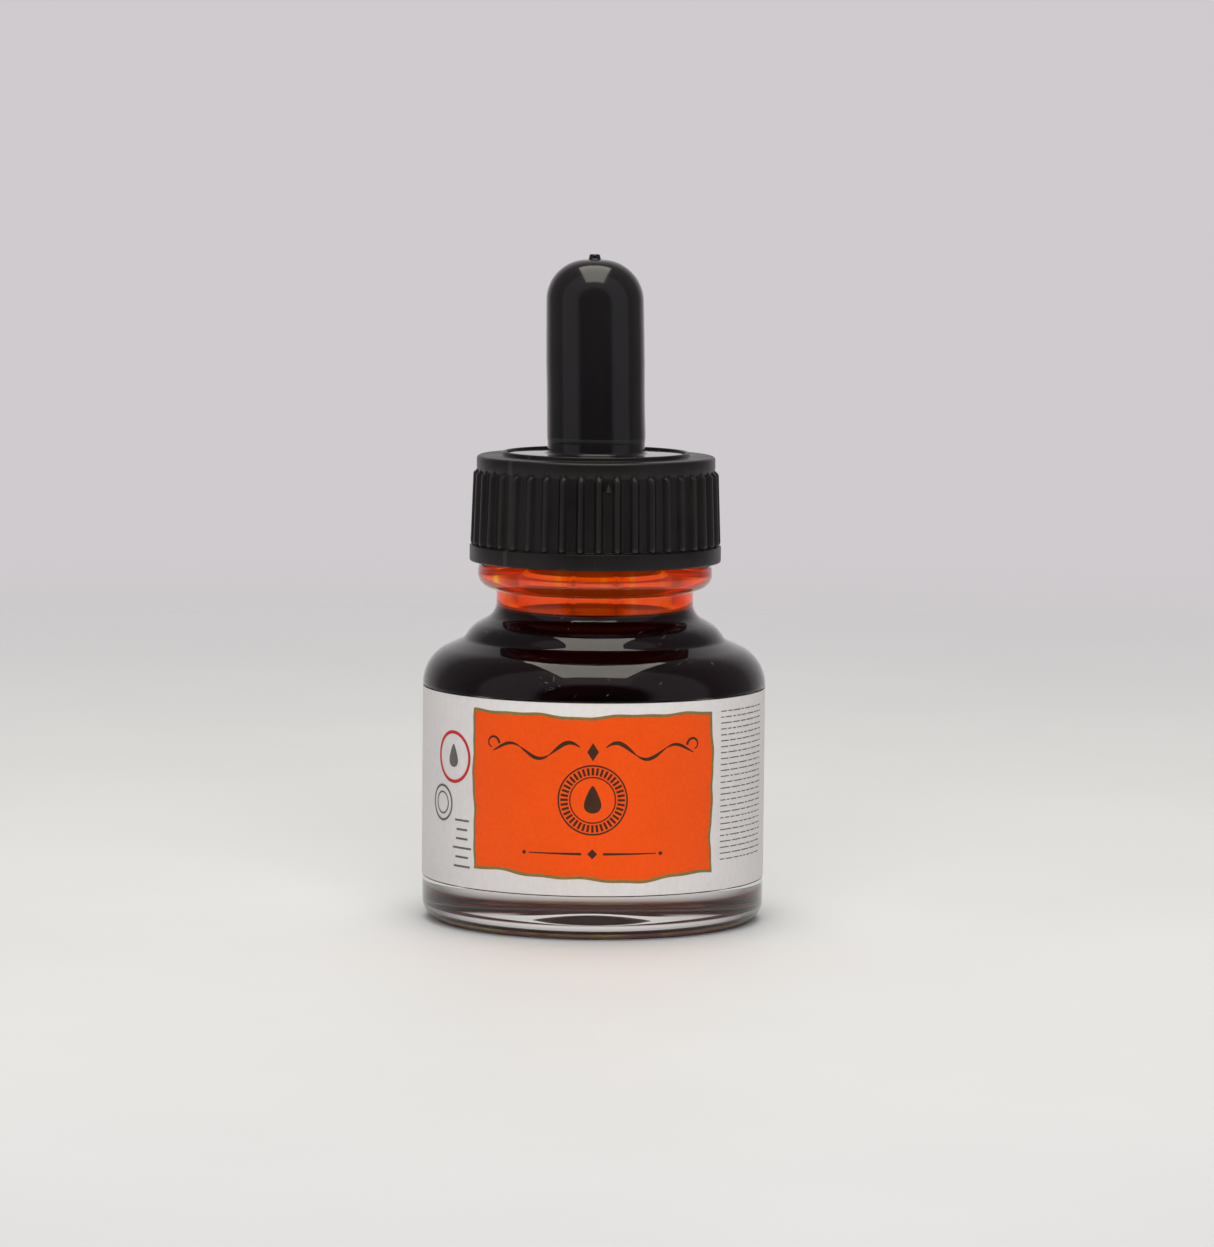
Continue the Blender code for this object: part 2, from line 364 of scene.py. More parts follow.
def ink_material():
    """Dark ink behind glass, and a mirror at shallow angles. A little light comes through it low down,
    where it is thin, which the emission stands for."""
    made, tree, shader = new_material("ink_dark", (0.010, 0.002, 0.003), 0.3, Specular_IOR_Level=0.0)
    cloud = noise(tree, 0.15, 3)
    deep = ramp(tree, cloud, (0.35, (0.008, 0.0008, 0.0014)), (0.7, (0.016, 0.0016, 0.0026)))
    tree.links.new(deep, shader.inputs["Base Color"])
    through = ramp(tree, cloud, (0.35, (0.020, 0.001, 0.003)), (0.5, (0.055, 0.003, 0.003)),
                   (0.7, (0.11, 0.022, 0.004)))
    low = spread(tree, height_of(tree), 1.0, 0.0, 15 * MM, 27 * MM)
    tree.links.new(mix(tree, low, (0, 0, 0), through), shader.inputs["Emission Color"])
    shader.inputs["Emission Strength"].default_value = 1.0
    mirror = tree.nodes.new("ShaderNodeBsdfGlossy")
    mirror.inputs["Roughness"].default_value = 0.01
    mirror.inputs["Color"].default_value = (0.8, 0.76, 0.77, 1)
    shallow = tree.nodes.new("ShaderNodeFresnel")
    shallow.inputs["IOR"].default_value = INK_IN_GLASS
    both = tree.nodes.new("ShaderNodeMixShader")
    tree.links.new(shallow.outputs["Fac"], both.inputs["Fac"])
    tree.links.new(shader.outputs["BSDF"], both.inputs[1])
    tree.links.new(mirror.outputs["BSDF"], both.inputs[2])
    tree.links.new(both.outputs["Shader"], tree.nodes["Material Output"].inputs["Surface"])
    return made


def level_material():
    """Ink's open surface."""
    made, tree, shader = new_material("ink_level", (0.22, 0.025, 0.001), 0.0, IOR=1.34)
    ripple = noise(tree, 0.2, 2)
    tree.links.new(ramp(tree, ripple, (0.35, (0.18, 0.018, 0.001)), (0.65, (0.27, 0.034, 0.001))),
                   shader.inputs["Base Color"])
    tree.links.new(spread(tree, ripple, 0.10, 0.18), shader.inputs["Roughness"])
    return made


def film_material():
    """Thin wet ink on the inside of the neck: clear orange, golden where it is thinnest and darker near
    the cap. The emission stands for the light that it scatters."""
    made, tree, shader = new_material("ink_film", (0.9, 0.2, 0.02), 0.1)
    clear = tree.nodes.new("ShaderNodeBsdfTransparent")
    runs = noise(tree, 0.35, 4, 0.5, (1, 1, 0.25))
    thin = ramp(tree, runs, (0.37, (1.0, 0.75, 0.08)), (0.43, (1.0, 0.36, 0.010)),
                (0.55, (1.0, 0.26, 0.006)), (0.8, (1.0, 0.19, 0.004)))
    dark = spread(tree, height_of(tree), 0.0, 1.0, (CAP_Z - 0.9) * MM, (CAP_Z + 1.2) * MM)
    tree.links.new(mix(tree, dark, thin, (0.35, 0.05, 0.01)), clear.inputs["Color"])
    glow = tree.nodes.new("ShaderNodeBsdfTranslucent")
    glow.inputs["Color"].default_value = (1.0, 0.14, 0.004, 1)
    both = tree.nodes.new("ShaderNodeMixShader")
    both.inputs["Fac"].default_value = 0.06
    tree.links.new(clear.outputs["BSDF"], both.inputs[1])
    tree.links.new(glow.outputs["BSDF"], both.inputs[2])
    scattered = tree.nodes.new("ShaderNodeEmission")
    tree.links.new(mix(tree, dark, (0.11, 0.013, 0.0001), (0.03, 0.002, 0.0)), scattered.inputs["Color"])
    total = tree.nodes.new("ShaderNodeAddShader")
    tree.links.new(both.outputs["Shader"], total.inputs[0])
    tree.links.new(scattered.outputs["Emission"], total.inputs[1])
    tree.links.new(total.outputs["Shader"], tree.nodes["Material Output"].inputs["Surface"])
    tree.nodes.remove(shader)
    return made


def paper_material():
    """Coated label paper with fibre and slow changes of tone."""
    made, tree, shader = new_material("label_paper", (0.78, 0.76, 0.75), 0.5, Specular_IOR_Level=0.3)
    fibre = noise(tree, 1.4, 8, 0.7, (1, 1, 0.6))
    broad = noise(tree, 0.07, 3)
    tone = ramp(tree, fibre, (0.3, (0.70, 0.675, 0.665)), (0.7, (0.78, 0.755, 0.745)))
    shade = ramp(tree, broad, (0.3, (0.93, 0.93, 0.93)), (0.7, (1.0, 1.0, 1.0)))
    tree.links.new(mix(tree, 1.0, tone, shade, "MULTIPLY"), shader.inputs["Base Color"])
    tree.links.new(spread(tree, fibre, 0.42, 0.6), shader.inputs["Roughness"])
    bump(tree, shader, fibre, 0.012, 0.6)
    return made


def glue_material():
    """Glued side of the label, which shows only through the glass of the base. Its mottled dark brown is
    painted shade and ink-tinted light, and only along its bottom edge is it pale.
    """
    made, tree, shader = new_material("label_glue", (0.10, 0.03, 0.012), 0.6, Specular_IOR_Level=0.2)
    brown_mottle = noise(tree, 0.25, 4)
    # painted shade: this dark brown stands for the shade and the ink-tinted light that reach the glued
    # side behind the glass
    painted_shade_brown = ramp(tree, brown_mottle, (0.35, (0.16, 0.042, 0.014)), (0.65, (0.10, 0.052, 0.012)))
    edge = spread(tree, height_of(tree), 1.0, 0.0, (LABEL_Z + 0.6) * MM, (LABEL_Z + 1.8) * MM)
    tree.links.new(mix(tree, edge, painted_shade_brown, (0.62, 0.59, 0.55)), shader.inputs["Base Color"])
    tree.links.new(spread(tree, brown_mottle, 0.5, 0.7), shader.inputs["Roughness"])
    return made


def print_material(name, light, dark, roughness=0.45):
    """Printing ink on paper: a screen of fine grain over the paper's own tone."""
    made, tree, shader = new_material(name, light, roughness, Specular_IOR_Level=0.2)
    grain = noise(tree, 2.2, 6, 0.7)
    broad = noise(tree, 0.1, 3)
    tone = ramp(tree, grain, (0.32, dark), (0.62, light))
    shade = ramp(tree, broad, (0.3, (0.94, 0.94, 0.94)), (0.7, (1.0, 1.0, 1.0)))
    tree.links.new(mix(tree, 1.0, tone, shade, "MULTIPLY"), shader.inputs["Base Color"])
    tree.links.new(spread(tree, grain, roughness - 0.06, roughness + 0.1), shader.inputs["Roughness"])
    bump(tree, shader, grain, 0.006, 0.5)
    return made


def cap_material():
    """Moulded black plastic: fine grain, handling sheen, and paler along its sharp edges."""
    made, tree, shader = new_material("cap_plastic", (0.012, 0.011, 0.0105), 0.4, Specular_IOR_Level=0.34)
    grain = noise(tree, 3.0, 6, 0.7)
    patch = noise(tree, 0.16, 4)
    edge = tree.nodes.new("ShaderNodeNewGeometry").outputs["Pointiness"]
    sharp_edge_pale = spread(tree, edge, 0.0, 0.6, 0.51, 0.58)
    base = ramp(tree, patch, (0.3, (0.0053, 0.0041, 0.0043)), (0.75, (0.0104, 0.0080, 0.0083)))
    tree.links.new(mix(tree, sharp_edge_pale, base, (0.035, 0.033, 0.030)), shader.inputs["Base Color"])
    tree.links.new(spread(tree, patch, 0.3, 0.46), shader.inputs["Roughness"])
    bump(tree, shader, grain, 0.018, 0.7)
    bump(tree, shader, patch, 0.05, 0.3)
    return made


def rubber_material():
    """Black rubber, slightly uneven, with specks of dust. The disc round the bulb's foot is glossier."""
    made, tree, shader = new_material("teat_rubber", (0.010, 0.009, 0.010), 0.2, Specular_IOR_Level=0.5)
    grain = noise(tree, 2.5, 5, 0.65)
    patch = noise(tree, 0.13, 4, 0.6, (1, 1, 0.5))
    specks = noise(tree, 5.0, 2, 0.5)
    base = ramp(tree, patch, (0.3, (0.008, 0.007, 0.008)), (0.75, (0.014, 0.013, 0.014)))
    dusty = spread(tree, specks, 0.0, 1.0, 0.76, 0.82)
    tree.links.new(mix(tree, dusty, base, (0.06, 0.058, 0.056)), shader.inputs["Base Color"])
    bulb = spread(tree, height_of(tree), 0.25, 1.0, (DISC_Z - 0.13) * MM, (DISC_Z + 0.32) * MM)
    tree.links.new(product(tree, spread(tree, patch, 0.08, 0.14), bulb), shader.inputs["Roughness"])
    bump(tree, shader, grain, 0.002, 0.4)
    bump(tree, shader, patch, 0.04, 0.3)
    return made


# ---------------------------------------------------------------- bottle and ink

def cavity():
    """Inside of the glass, from the bore down to the middle of the floor."""
    return [
        (BORE_R, 37.1, 1.8),
        (12.8, 35.4, 2.8),
        (13.8, 33.0, 1.2),
        (INNER_R, 31.0, 4.2),
        (INNER_R, 7.4, 6.3),
        (0, 7.7),
    ]


def inside():
    """The cavity's outline with its roundings, from the bore to the middle of the floor."""
    return rounded([(BORE_R, RIM_Z)] + cavity())[1:]


def shoulder():
    """Corners of the glass's outside from the label's top up to the bead."""
    return [
        (BODY_R, SEAT_Z[1] + SEAT_STEP),
        (BODY_R, 32.3, 5.0),
        (16.06, 34.53, 1.2),
        (15.03, 36.06, 4.2),
        (NECK_R, 37.69, 2.2),
        (NECK_R, BEAD_Z[0], 0.35),
    ]


def underside():
    """Hollow under the base, from its middle out to the foot."""
    rings = 40
    outline = []
    for ring in range(rings):
        radius = FOOT_R * ring / rings
        height = PUSH_UP * (1 - (radius / FOOT_R) ** PUSH_UP_CURVE)
        outline.append((radius, height + DIMPLE_TALL * exp(-(radius / DIMPLE_R) ** 2)))
    return outline


def make_bottle(glass):
    """Glass with its thick base, the label's sunk seat, stepped shoulder, bead, thread and bore."""
    outline = underside() + rounded([
        (FOOT_R, 0),
        (18.4, 0),
        (LAND_R, 0, HEEL_R),
        (LAND_R, SEAT_Z[0] - SEAT_STEP),
        (SEAT_R, SEAT_Z[0]),
        (SEAT_R, SEAT_Z[1]),
    ] + shoulder() + [
        (BEAD_R, BEAD_Z[0], BEAD_ROUND),
        (BEAD_R, BEAD_Z[1], BEAD_ROUND),
        (ROOT_R, BEAD_Z[1], 0.3),
        (ROOT_R, RIM_Z, RIM_ROUND),
        (BORE_R, RIM_Z, RIM_ROUND),
    ] + cavity())
    outline = split(outline, BEAD_Z[1] + 0.5, RIM_Z - 0.6, 0.2)

    def thread(radius, height, angle):
        if abs(radius - ROOT_R) > 0.05 or height < BEAD_Z[1] + 0.3:
            return 0
        return NECK_THREAD_RISE * thread_height(height, angle, **NECK_THREAD)

    bottle = piece("glass_bottle", turned(outline, 180, thread), glass, "bottle")
    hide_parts("bottle")


def make_marks(dried):
    """Fine scratches and specks of dried ink on the shoulder, in a few clusters."""
    rng = random.Random(11)
    proud, bends = 0.012, 6
    outline = rounded(shoulder() + [(11.9, BEAD_Z[0])])[1:-2]

    def on_glass(along, travel):
        """Point on the shoulder, from its arc lengths round the front and up the outline."""
        for near, far in zip(outline, outline[1:]):
            reach = hypot(far[0] - near[0], far[1] - near[1])
            if travel < reach or far is outline[-1]:
                break
            travel -= reach
        share = min(1, travel / reach)
        radius = near[0] + (far[0] - near[0]) * share + proud
        height = near[1] + (far[1] - near[1]) * share
        angle = along / radius - pi / 2
        return Vector((radius * cos(angle), radius * sin(angle), height)) * MM

    mesh = bmesh.new()
    # Each cluster: place round the front and up the outline, their spreads, count, spread of direction
    clusters = (
        (-5.6, 1.6, 0.5, 0.6, 9, 1.3),
        (-6.3, 4.2, 0.12, 1.0, 3, 0.2),
        (-4.3, 13.4, 0.5, 0.3, 5, 0.7),
        (1.2, 2.6, 0.4, 0.1, 2, 1.5),
        (11.5, 4.6, 0.5, 0.3, 4, 0.6),
        (9.0, 9.6, 0.6, 0.4, 5, 0.7),
        (3.0, 7.0, 9.0, 4.0, 12, 3.0),
    )
    for along, travel, wide, tall, count, lean in clusters:
        for _ in range(count):
            start = (rng.gauss(along, wide), max(0.3, rng.gauss(travel, tall)))
            turn = rng.gauss(pi / 2, lean)
            length, width = rng.uniform(0.15, 0.9), rng.uniform(0.012, 0.035)
            bend = rng.uniform(-0.5, 0.5)
            left, right = [], []
            for step in range(bends + 1):
                share = step / bends
                aim = turn + bend * share
                half = width * sin(pi * (0.08 + 0.84 * share))
                x = start[0] + length * share * cos(aim)
                y = max(0.2, start[1] + length * share * sin(aim))
                left.append(mesh.verts.new(on_glass(x - half * sin(aim), y + half * cos(aim))))
                right.append(mesh.verts.new(on_glass(x + half * sin(aim), y - half * cos(aim))))
            for step in range(bends):
                mesh.faces.new((left[step], right[step], right[step + 1], left[step + 1]))
    piece("glass_marks", mesh, dried, "bottle")


def make_ink(dark, open_top):
    """The liquid fills the cavity and just enters the glass, so that no air shows between them."""
    overlap = 0.03
    wall = []
    for radius, height in inside():
        if height < LEVEL_Z + MENISCUS / 2:
            sink = -overlap if height < INNER_MIDDLE_Z else overlap
            wall.append((radius + overlap if radius else 0, height + sink))
    level = [(0, LEVEL_Z), (8.2, LEVEL_Z), (9.0, LEVEL_Z + 0.15), (BORE_R + overlap, LEVEL_Z + MENISCUS)]
    ink = piece("ink_liquid", turned(level + wall, 144), dark, "bottle")
    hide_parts("ink")
    surface = [(radius, height + 0.01) for radius, height in level]
    piece("ink_level", turned(surface, 144, closed=False), open_top, "bottle")


def make_film(wet):
    """Skin of ink on the wall of the bore, sunk into the glass's inner face."""
    sunk, edge = 0.04, 1.0
    bore = [point for point in inside() if point[1] > LEVEL_Z - edge]
    outline = [(BORE_R + sunk, RIM_Z - edge)] + [(radius + sunk, height) for radius, height in bore]
    skin = turned(outline, 144, closed=False)
    piece("ink_film", skin, wet, "bottle")


# ---------------------------------------------------------------- label

PAPER_R = LABEL_R - 0.03
PAPER_THICK = 0.05
PAPER_LAP = 3.0

# How far each layer of print stands above the paper
PANEL_LIFT, BORDER_LIFT, STROKE_LIFT = 0.010, 0.016, 0.02


def wrapped(along, height, radius):
    """Point on the label: along is the arc length to the right of the front."""
    angle = along / LABEL_R - pi / 2
    return (radius * cos(angle) * MM, radius * sin(angle) * MM, height * MM)


def make_label(paper, glue):
    """Wrapped sheet with softened edges, whose end laps over its start at the back."""
    # Softening of its edges, how far it hangs below the CAD's sheet, and how far its start is tucked in
    soft_z, soft_r, hang, tuck = 0.06, 0.02, 0.13, 0.055
    mesh = bmesh.new()
    steps = 260
    girth = TAU * LABEL_R
    start = -girth / 2 - PAPER_LAP / 2
    low = LABEL_Z - hang
    rows = [low, low + soft_z, (low + LABEL_TOP) / 2, LABEL_TOP - soft_z, LABEL_TOP]
    columns = []
    for step in range(steps + 1):
        along = start + (girth + PAPER_LAP) * step / steps
        lift = -tuck * (1 - ease(along - start, PAPER_LAP * 0.9, PAPER_LAP * 1.6))
        column = []
        for index, height in enumerate(rows):
            edge = -soft_r if index in (0, len(rows) - 1) else 0
            column.append(mesh.verts.new(wrapped(along, height, PAPER_R + lift + edge)))
        columns.append(column)
    for near, far in zip(columns, columns[1:]):
        for row in range(len(rows) - 1):
            mesh.faces.new((near[row], far[row], far[row + 1], near[row + 1]))
    label = piece("label_sheet", mesh, paper, "bottle")
    thick = label.modifiers.new("thickness", "SOLIDIFY")
    thick.thickness = PAPER_THICK * MM
    thick.offset = -1
    thick.material_offset = 1
    label.data.materials.append(glue)
    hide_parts("label")


def sheet_patch(name, rows, finish, lift):
    """Printed patch on the label. rows is a grid of (along, height) points."""
    mesh = bmesh.new()
    grid = [[mesh.verts.new(wrapped(*point, PAPER_R + lift)) for point in row] for row in rows]
    for near, far in zip(grid, grid[1:]):
        for index in range(len(near) - 1):
            mesh.faces.new((near[index], near[index + 1], far[index + 1], far[index]))
    return piece(name, mesh, finish, "bottle")


def wave(share, *parts):
    """Sum of sines along an edge: each part is (size, cycles, phase)."""
    return sum(size * sin(TAU * cycles * share + phase) for size, cycles, phase in parts)


PANEL = dict(left=-15.55, right=15.55, low=7.9, high=27.0)


def panel_point(across, up, grow=0.0):
    """Place on the orange panel for across and up in 0..1; its four edges are wavy like torn paper."""
    top = PANEL["high"] + grow + wave(across, (0.16, 1.5, 0.4), (0.12, 3.2, 2.0), (0.05, 7, 1.0))
    low = PANEL["low"] - grow + wave(across, (0.42, 1.0, 0.9), (0.16, 2.6, 0.2), (0.07, 6.2, 2.4))
    left = PANEL["left"] - grow + wave(up, (0.14, 1.0, 0.5), (0.09, 2.7, 1.5), (0.04, 6, 0.1))
    right = PANEL["right"] + grow + wave(up, (0.16, 1.1, 3.4), (0.09, 2.9, 0.6), (0.04, 6.4, 2.2))
    return left + (right - left) * across, low + (top - low) * up


def make_panel(orange, gold):
    """Orange panel on the front of the label, with a thin border round it."""
    across, up = 120, 60
    rows = [[panel_point(i / across, j / up) for i in range(across + 1)] for j in range(up + 1)]
    sheet_patch("label_panel", rows, orange, PANEL_LIFT)
    loop = [(i / across, 0) for i in range(across)] + [(1, j / up) for j in range(up)]
    loop += [(1 - i / across, 1) for i in range(across)] + [(0, 1 - j / up) for j in range(up)]
    loop.append(loop[0])
    inner = [panel_point(x, y, -0.05) for x, y in loop]
    outer = [panel_point(x, y, 0.32) for x, y in loop]
    sheet_patch("label_border", [inner, outer], gold, BORDER_LIFT)


def stroke(mesh, path, width):
    """Printed line along a path of (along, height) points. width is a number or a function of 0..1."""
    left, right = [], []
    for index, (along, height) in enumerate(path):
        before, after = path[max(index - 1, 0)], path[min(index + 1, len(path) - 1)]
        run = Vector((after[0] - before[0], after[1] - before[1])).normalized()
        half = (width(index / (len(path) - 1)) if callable(width) else width) / 2
        for side, edge in ((1, left), (-1, right)):
            place = (along - side * run.y * half, height + side * run.x * half)
            edge.append(mesh.verts.new(wrapped(*place, PAPER_R + STROKE_LIFT)))
    for index in range(len(path) - 1):
        mesh.faces.new((left[index], right[index], right[index + 1], left[index + 1]))


def fill(mesh, outline, centre):
    """Printed shape: a fan of faces from its centre to its outline."""
    middle = mesh.verts.new(wrapped(*centre, PAPER_R + STROKE_LIFT))
    rim = [mesh.verts.new(wrapped(*point, PAPER_R + STROKE_LIFT)) for point in outline]
    for here, after in zip(rim, rim[1:] + rim[:1]):
        mesh.faces.new((middle, here, after))


def around(centre, radius, turn):
    """Point at a distance and direction from a centre on the label."""
    return centre[0] + radius * cos(turn), centre[1] + radius * sin(turn)


def circle(centre, radius):
    """Closed path round a centre."""
    steps = 72
    return [around(centre, radius, TAU * step / steps) for step in range(steps + 1)]


def drop(centre, size):
    """Outline of an ink drop, pointed at the top."""
    steps = 48
    points = []
    for step in range(steps):
        turn = TAU * step / steps
        pull = 0.5 * (1 + cos(turn))
        points.append((centre[0] + size * 0.62 * sin(turn) * (1 - pull ** 1.5 * 0.55),
                       centre[1] + size * (cos(turn) * 0.62 + 0.42 * pull ** 3)))
    return points


def lozenge(centre, wide, tall):
    """Outline of a diamond, from half its width and half its height."""
    return [(centre[0] - wide, centre[1]), (centre[0], centre[1] - tall),
            (centre[0] + wide, centre[1]), (centre[0], centre[1] + tall)]


def make_ornaments(black):
    """Plain printed ornaments on the panel: a swash, a ringed drop and a ruled line."""
    mesh = bmesh.new()
    swash_z, swash_steps = 22.9, 90
    curl_z, curl_r, curl_turn, curl_steps = 23.5, 0.9, 4.4, 24
    for side in (-1, 1):
        path = []
        for step in range(swash_steps + 1):
            share = step / swash_steps
            swing = 1.15 * sin(share * TAU * 1.5 + 0.5) * (1 - 0.45 * share)
            path.append((side * (1.6 + 11.2 * share), swash_z + swing))
        stroke(mesh, path, lambda share: 0.12 + 0.42 * abs(sin(share * pi * 3)) * (1 - 0.5 * share))
        curl = []
        for step in range(curl_steps + 1):
            turn = step / curl_steps * curl_turn
            reach = curl_r * (1 - step / 60)
            curl.append((side * (12.8 - reach * cos(turn)), curl_z + reach * sin(turn)))
        stroke(mesh, curl, lambda share: 0.34 - 0.2 * share)
    fill(mesh, lozenge((0, swash_z), 0.7, 1.1), (0, swash_z))
    seal, ticks = (0, 17.1), 40
    stroke(mesh, circle(seal, 4.15), 0.2)
    stroke(mesh, circle(seal, 2.75), 0.16)
    for tick in range(ticks):
        turn = TAU * tick / ticks
        stroke(mesh, [around(seal, 3.0, turn), around(seal, 3.9, turn)], 0.3)
    fill(mesh, drop((seal[0], seal[1] - 0.35), 2.0), (seal[0], seal[1] - 0.6))
    rule_z = 10.6
    for side in (-1, 1):
        rule = [(side * (1.3 + step * 0.5), rule_z) for step in range(14)]
        stroke(mesh, rule, lambda share: 0.3 - 0.18 * share)
        fill(mesh, lozenge((side * 8.4, rule_z), 0.3, 0.3), (side * 8.4, rule_z))
    fill(mesh, lozenge((0, rule_z), 0.6, 0.6), (0, rule_z))
    piece("panel_ornaments", mesh, black, "bottle")


def make_side_print(grey, red):
    """Plain rules, bars, rings and a drop on the white paper beside the panel."""
    rng = random.Random(7)
    mesh = bmesh.new()
    rows, top, spacing = 26, 27.2, 0.72
    left, last, right = 17.3, 27.2, 27.4
    for row in range(rows):
        height = top - row * spacing
        along = left
        while along < last:
            reach = min(rng.uniform(0.5, 2.1), right - along)
            stroke(mesh, [(along, height), (along + reach / 2, height), (along + reach, height)], 0.13)
            along += reach + 0.28
    bars = -17.9
    for row, half in enumerate((1.3, 1.0, 1.1, 1.7, 1.2, 1.5)):
        height = 13.6 - row * 1.12
        stroke(mesh, [(bars - half, height), (bars, height), (bars + half, height)], 0.26)
    seal = (-22.0, 15.4)
    stroke(mesh, circle(seal, 2.1), 0.3)
    stroke(mesh, circle(seal, 1.3), 0.22)
    ring = (-19.6, 21.2)
    fill(mesh, drop((ring[0], 21.0), 1.7), (ring[0], 20.7))
    piece("side_print", mesh, grey, "bottle")
    mesh = bmesh.new()
    stroke(mesh, circle(ring, 3.0), 0.42)
    piece("side_ring", mesh, red, "bottle")


# ---------------------------------------------------------------- cap

def rib_shape(radius, height, angle):
    """Height of the ribs over the flutes of the cap's side, and the thread inside it."""
    if radius < CAP_BORE_R + 0.05:
        if 45 < height < 55 and radius > CAP_BORE_R - 0.05:
            return -CAP_THREAD_RISE * thread_height(height, angle, **CAP_THREAD)
        return 0
    if not BAND_TOP + 0.05 < height < SIDE_TOP or radius < SIDE_R[1] - 0.1:
        return 0
    share = (height - RIB_Z[0]) / (RIB_Z[1] - RIB_Z[0])
    crest = RIB_CREST[0] - (RIB_CREST[0] - RIB_CREST[1]) * share
    across = ((angle - RIB_TURN) * RIBS / TAU + 0.5) % 1 - 0.5
    gap = abs(across) * TAU * RIB_R / RIBS
    rise = 1 - ease(gap, *RIB_FLANK)
    rise *= sqrt(max(0, 1 - (gap / RIB_HALF) ** 2))
    reach = ease(height, BAND_TOP, BAND_TOP + 0.35) * (1 - ease(height, *RIB_END))
    return max(0, crest - radius) * rise * reach


def make_cap(plastic):
    """Ribbed screw collar with a smooth band at its foot and a lip round the hole in its top."""
    outline = rounded([
        (CAP_BORE_R, CAP_Z),
        (BAND_R, CAP_Z, 0.22),
        (BAND_R, BAND_TOP, 0.1),
        (SIDE_R[0], 46.2, 0.1),
        (SIDE_R[1], RIB_Z[1], 0.2),
        (14.62, 55.6),
        (14.62, 57.0, 0.42),
        (11.5, 57.0, 0.12),
        (11.45, CAP_TOP, 0.2),
        (11.0, CAP_TOP, 0.2),
        (11.0, 55.7),
        (CAP_BORE_R, 55.7, 0.4),
    ], radians(12))
    outline = split(outline, BAND_TOP, SIDE_TOP, 0.25)
    mesh = turned(outline, RIBS * RIB_SIDES, rib_shape)
    mark = triangle_mark()
    data = bpy.data.meshes.new("mark")
    mark.to_mesh(data)
    mark.free()
    mesh.from_mesh(data)
    bpy.data.meshes.remove(data)
    cap = piece("cap_moulding", mesh, plastic, "cap", 40)
    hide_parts("cap")


def triangle_mark():
    """Small raised triangle between two ribs, left by the mould."""
    mesh = bmesh.new()
    turn = RIB_TURN + TAU / RIBS / 2
    low, tip, half = 53.5, 54.75, 0.36
    centre_z = (2 * low + tip) / 3
    corners = [(-half, low), (half, low), (0, tip)]
    layers = []
    for radius, shrink in ((14.4, 1.0), (14.95, 1.0), (15.02, 0.8)):
        ring = []
        for across, height in corners:
            angle = turn + across * shrink / radius
            level = centre_z + (height - centre_z) * shrink
            corner = Vector((radius * cos(angle), radius * sin(angle), level))
            ring.append(mesh.verts.new(corner * MM))
        layers.append(ring)
    mesh.faces.new(layers[0])
    mesh.faces.new(layers[-1])
    for near, far in zip(layers, layers[1:]):
        for index in range(3):
            after = (index + 1) % 3
            mesh.faces.new((near[index], near[after], far[after], far[index]))
    bmesh.ops.recalc_face_normals(mesh, faces=mesh.faces)
    return mesh


# ---------------------------------------------------------------- dropper

def make_teat(rubber):
    """Rubber bulb with its flange and disc. It leans a little above the disc."""
    outline = rounded([
        (SOCKET_R, FLANGE_Z),
        (FLANGE_R, FLANGE_Z, 0.2),
        (FLANGE_R, 55.5, 0.2),
        (10.85, 55.5),
        (10.85, DISC_Z, 0.3),
        (BULB_R, DISC_Z, 0.45),
        (5.98, 58.6, 1.0),
        (6.05, 59.3, 1.0),
        (6.03, 60.4, 1.0),
        (5.99, 64.0),
        (6.03, 68.5),
        (BULB_R, 72.0),
        (5.90, 81.0, 5.05),
        (0.75, 81.0, 0.25),
        (0.62, NUB_Z, 0.25),
        (0, NUB_Z),
        (0, 79.4),
        (4.5, 79.4, 3.8),
        (4.5, 61.9),
        (SOCKET_R, 61.3),
    ], radians(5))
    outline = split(outline, 59, 80, 0.8)
    mesh = turned(outline, 128, parting_line)
    for vert in mesh.verts:
        height = vert.co.z / MM
        vert.co.x -= LEAN * max(0, height - LEAN_Z) * MM * ease(height, LEAN_Z - 0.5, LEAN_Z + 4)
    teat = piece("teat_moulding", mesh, rubber, "dropper")
    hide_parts("teat")


def parting_line(radius, height, angle):
    """Faint flash left by the mould on both sides of the bulb."""
    if height < 59.8 or radius < 5:
        return 0
    off = min(abs(angle), abs(angle - pi), abs(angle - TAU)) * radius
    ripple = 0.6 + 0.4 * sin(height * 5.3) * sin(height * 1.7 + 1)
    tall, half_width = 0.035, 0.35
    return tall * ripple * (1 - ease(off, 0.0, half_width))


def make_pipette(glass):
    """Glass tube drawn out to a narrow tip."""
    outline = rounded([
        (TUBE_BORE_R, PIPE_TOP, 0.3),
        (TUBE_BORE_R, TAPER_Z[1], TAPER_ROUND),
        (0.8, TAPER_Z[0], TAPER_ROUND),
        (0.7, TIP_Z, 0.2),
        (1.25, TIP_Z, 0.25),
        (1.4, TAPER_Z[0], TAPER_ROUND),
        (PIPE_R, TAPER_Z[1], TAPER_ROUND),
        (PIPE_R, PIPE_TOP, 0.3),
    ], radians(3))
    pipette = piece("pipette_tube", turned(outline, 72), glass, "dropper")
    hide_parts("pipette")


def make_pipette_ink(dark):
    """Ink that stands in the tube at the level of the ink round it, and goes up with it."""
    wet_r = TUBE_BORE_R + 0.03
    outline = rounded([
        (0, TIP_Z + 0.3),
        (0.76, TIP_Z + 0.3, 0.1),
        (0.84, TAPER_Z[0], TAPER_ROUND),
        (wet_r, TAPER_Z[1], TAPER_ROUND),
        (wet_r, LEVEL_Z + 0.1),
        (2.1, LEVEL_Z - 0.2),
        (0, LEVEL_Z - 0.4),
    ], radians(3))
    piece("pipette_ink", turned(outline, 64), dark, "dropper")


# ---------------------------------------------------------------- stage, lights and camera

